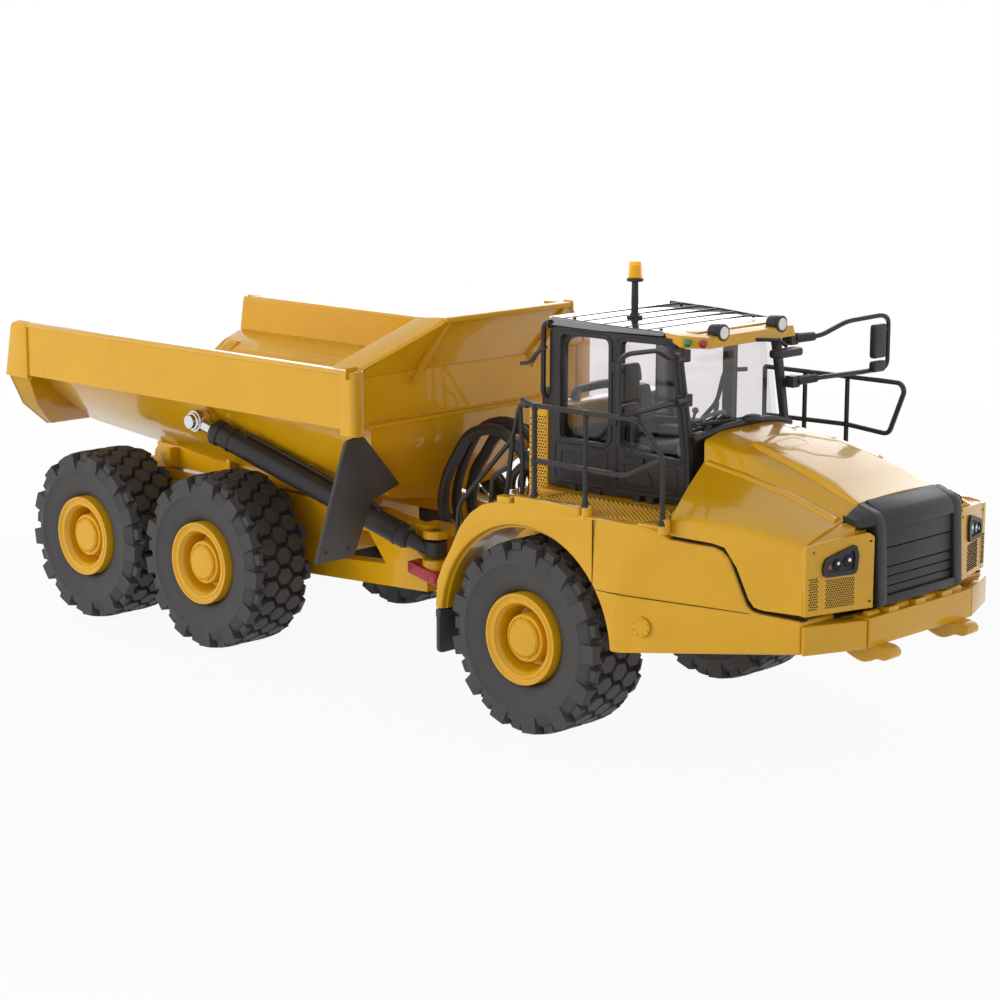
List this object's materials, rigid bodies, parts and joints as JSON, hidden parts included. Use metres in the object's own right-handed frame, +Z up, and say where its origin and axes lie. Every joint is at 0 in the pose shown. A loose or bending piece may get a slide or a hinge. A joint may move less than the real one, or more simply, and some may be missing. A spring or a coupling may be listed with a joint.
{
  "type": "scale model articulated dump truck",
  "caption": "Die-cast scale model of an articulated dump truck: it rolls, steers at the hitch, tips its body with hoist cylinders and tilts its hood.",
  "frame": {"origin": "on the floor under the middle of the model's overall box", "axes": "+X forward, towards the hood, +Y left, +Z up"},
  "size_m": [0.2275, 0.0806, 0.0863],
  "materials": {
    "yellow_paint": "glossy warm yellow enamel",
    "tyre_rubber": "matte dark grey rubber",
    "flap_rubber": "matte black",
    "satin_black": "satin black moulding",
    "gloss_black": "glossy black moulding",
    "clear_plastic": "clear moulding",
    "amber_plastic": "clear amber",
    "red_paint": "satin red",
    "dark_grey": "satin grey moulding",
    "chrome_rod": "polished"
  },
  "bodies": {
    "front_unit": {"front_frame": "yellow_paint", "front_axle": "yellow_paint", "fender_right": "yellow_paint", "fender_left": "yellow_paint", "fender_flap_right": "flap_rubber", "fender_flap_left": "flap_rubber", "front_bumper": "yellow_paint", "engine": "dark_grey", "cab_shell": "satin_black", "cab_glazing": "clear_plastic", "cab_roof": "gloss_black", "roof_visor": "yellow_paint", "beacon": "amber_plastic", "cab_floor": "dark_grey", "operator_seat": "satin_black", "cooling_box": "yellow_paint", "handrail_right": "satin_black", "handrail_left": "satin_black", "step_bar_right": "satin_black", "step_bar_left": "satin_black", "mirror_right": "satin_black", "mirror_left": "satin_black", "front_mirror": "satin_black"},
    "hood": {"hood_shell": "yellow_paint", "grille": "satin_black", "headlight_right": "satin_black", "headlight_left": "satin_black"},
    "hitch": {"hitch_yoke": "yellow_paint"},
    "rear_frame": {"rear_frame": "yellow_paint", "mid_axle": "yellow_paint", "rear_axle": "yellow_paint", "walking_beam_right": "yellow_paint", "walking_beam_left": "yellow_paint", "steering_lock": "red_paint"},
    "dump_body": {"dump_body": "yellow_paint", "body_flap_right": "flap_rubber", "body_flap_left": "flap_rubber"},
    "hoist_barrel_right": {"hoist_barrel_right": "satin_black"},
    "hoist_rod_right": {"hoist_rod_right": "chrome_rod"},
    "hoist_barrel_left": {"hoist_barrel_left": "satin_black"},
    "hoist_rod_left": {"hoist_rod_left": "chrome_rod"},
    "wheel_front_right": {"tyre_front_right": "tyre_rubber", "rim_front_right": "yellow_paint"},
    "wheel_front_left": {"tyre_front_left": "tyre_rubber", "rim_front_left": "yellow_paint"},
    "wheel_mid_right": {"tyre_mid_right": "tyre_rubber", "rim_mid_right": "yellow_paint"},
    "wheel_mid_left": {"tyre_mid_left": "tyre_rubber", "rim_mid_left": "yellow_paint"},
    "wheel_rear_right": {"tyre_rear_right": "tyre_rubber", "rim_rear_right": "yellow_paint"},
    "wheel_rear_left": {"tyre_rear_left": "tyre_rubber", "rim_rear_left": "yellow_paint"}
  },
  "joints": [
    {"name": "steer", "type": "hinge", "parent": "front_unit", "child": "hitch", "pos_m": [0.00855, 0, 0.021], "axis": [0, 0, 1], "range_deg": [-45, 45]},
    {"name": "twist", "type": "hinge", "parent": "hitch", "child": "rear_frame", "pos_m": [-0.00145, 0, 0.021], "axis": [1, 0, 0], "range_deg": [-8, 8]},
    {"name": "tip", "type": "hinge", "parent": "rear_frame", "child": "dump_body", "pos_m": [-0.08745, 0, 0.0325], "axis": [0, -1, 0], "range_deg": [0, 70]},
    {"name": "hood_tilt", "type": "hinge", "parent": "front_unit", "child": "hood", "pos_m": [0.11085, 0, 0.0309], "axis": [0, 1, 0], "range_deg": [0, 60]},
    {"name": "hoist_swing_right", "type": "hinge", "parent": "rear_frame", "child": "hoist_barrel_right", "pos_m": [0.00455, -0.015, 0.025], "axis": [-0.4517, 0.5669, -0.6889], "range_deg": [0, 8.02]},
    {"name": "hoist_stroke_right", "type": "slide", "parent": "hoist_barrel_right", "child": "hoist_rod_right", "axis": [-0.8917, -0.2623, 0.3688], "range_m": [0, 0.04508]},
    {"name": "hoist_swing_left", "type": "hinge", "parent": "rear_frame", "child": "hoist_barrel_left", "pos_m": [0.00455, 0.015, 0.025], "axis": [0.4517, 0.5669, 0.6889], "range_deg": [0, 8.02]},
    {"name": "hoist_stroke_left", "type": "slide", "parent": "hoist_barrel_left", "child": "hoist_rod_left", "axis": [-0.8917, 0.2623, 0.3688], "range_m": [0, 0.04508]},
    {"name": "roll_front_right", "type": "hinge", "parent": "front_unit", "child": "wheel_front_right", "pos_m": [0.04655, -0.027, 0.0184], "axis": [0, 1, 0], "continuous": true},
    {"name": "roll_front_left", "type": "hinge", "parent": "front_unit", "child": "wheel_front_left", "pos_m": [0.04655, 0.027, 0.0184], "axis": [0, 1, 0], "continuous": true},
    {"name": "roll_mid_right", "type": "hinge", "parent": "rear_frame", "child": "wheel_mid_right", "pos_m": [-0.04515, -0.027, 0.0184], "axis": [0, 1, 0], "continuous": true},
    {"name": "roll_mid_left", "type": "hinge", "parent": "rear_frame", "child": "wheel_mid_left", "pos_m": [-0.04515, 0.027, 0.0184], "axis": [0, 1, 0], "continuous": true},
    {"name": "roll_rear_right", "type": "hinge", "parent": "rear_frame", "child": "wheel_rear_right", "pos_m": [-0.08445, -0.027, 0.0184], "axis": [0, 1, 0], "continuous": true},
    {"name": "roll_rear_left", "type": "hinge", "parent": "rear_frame", "child": "wheel_rear_left", "pos_m": [-0.08445, 0.027, 0.0184], "axis": [0, 1, 0], "continuous": true}
  ],
  "couplings": [
    {"joint": "hoist_swing_right", "follows": "tip", "ratio": 0.11448},
    {"joint": "hoist_stroke_right", "follows": "tip", "m_per_rad": 0.03688},
    {"joint": "hoist_swing_left", "follows": "tip", "ratio": 0.11448},
    {"joint": "hoist_stroke_left", "follows": "tip", "m_per_rad": 0.03688}
  ]
}
